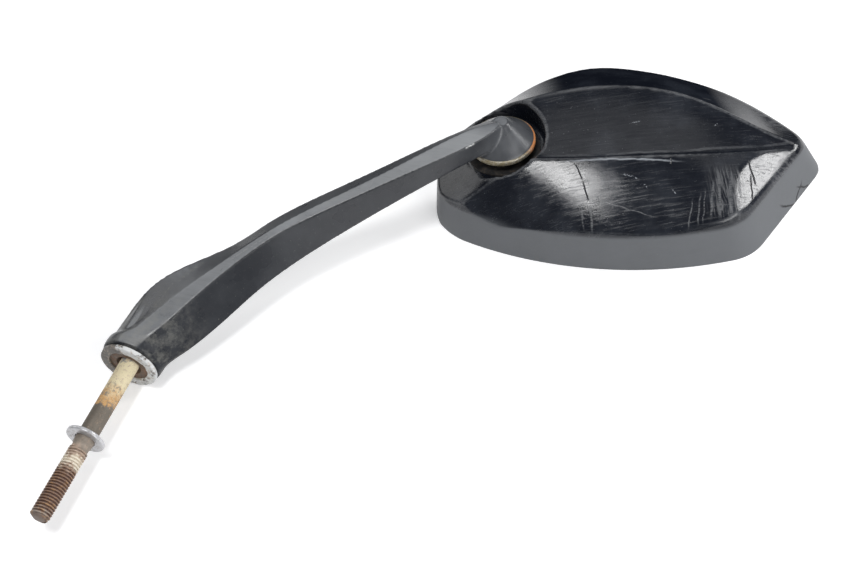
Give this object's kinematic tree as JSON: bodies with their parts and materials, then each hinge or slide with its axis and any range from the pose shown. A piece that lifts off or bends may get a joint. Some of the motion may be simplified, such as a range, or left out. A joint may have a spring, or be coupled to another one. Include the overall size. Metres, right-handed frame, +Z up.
{
  "type": "stud-mounted rear-view mirror",
  "caption": "Black rear-view mirror: leaf-faceted drafted head on a ball joint, bent faceted arm and a plain steel stud with a threaded end and a loose flat washer.",
  "frame": {"origin": "on the stud's axis, midway along its thread", "axes": "-Y along the thread, the way the bracket or nut leaves it; +Z up off the table the mirror lies on, glass down, so the back of the head faces +Z; the arm leads off towards +X and +Y"},
  "size_m": [0.2506, 0.2827, 0.045],
  "materials": {
    "stud_steel": "rusty steel, pale plating left near the base",
    "inner_steel": "bright spring steel",
    "zinc_washer": "dull zinc plate",
    "arm_paint": "worn satin black paint",
    "rusty_bush": "rust-brown steel",
    "corroded_ring": "white corrosion over grey metal",
    "brassed_ring": "worn khaki plate with orange rust",
    "bearing_plastic": "greased white plastic",
    "head_plastic": "scuffed glossy black",
    "shield_steel": "dark worn steel",
    "carrier_plastic": "moulded grey-black",
    "foam_pad": "closed-cell foam tape",
    "silvered_glass": "silvered",
    "rim_rubber": "soft black"
  },
  "bodies": {
    "stud": {"stud": "stud_steel", "thrust_washer": "inner_steel", "disc_springs": "inner_steel"},
    "washer": {"flat_washer": "zinc_washer"},
    "arm": {"arm": "arm_paint", "pivot_bush": "rusty_bush", "base_ring": "corroded_ring", "boss_ring": "brassed_ring", "ball_stud": "inner_steel"},
    "upper_cup": {"upper_cup": "bearing_plastic"},
    "lower_cup": {"lower_cup": "bearing_plastic"},
    "head": {"head_housing": "head_plastic", "socket_shield": "shield_steel", "spring_seat": "inner_steel", "tension_spring": "inner_steel", "retainer_plate": "inner_steel", "retainer_screws": "inner_steel", "glass_carrier": "carrier_plastic", "glass_pad": "foam_pad", "mirror_glass": "silvered_glass", "rim_seal": "rim_rubber"}
  },
  "joints": [
    {"name": "washer_slide", "type": "slide", "parent": "stud", "child": "washer", "axis": [0, 1, 0], "range_m": [-0.034, 0.033]},
    {"name": "arm_swing", "type": "hinge", "parent": "stud", "child": "arm", "pos_m": [0, 0.056, 0], "axis": [0, 1, 0], "range_deg": [-45, 45]},
    {"name": "head_nod", "type": "hinge", "parent": "arm", "child": "upper_cup", "pos_m": [0.1132, 0.1936, 0.0037], "axis": [0.8988, 0.4384, 0], "range_deg": [-8, 8]},
    {"name": "head_yaw", "type": "hinge", "parent": "upper_cup", "child": "lower_cup", "pos_m": [0.1132, 0.1936, 0.0037], "axis": [-0.4384, 0.8988, 0], "range_deg": [-8, 8]},
    {"name": "head_twist", "type": "hinge", "parent": "lower_cup", "child": "head", "pos_m": [0.1132, 0.1936, 0.0037], "axis": [0, 0, 1], "range_deg": [-15, 15]}
  ]
}
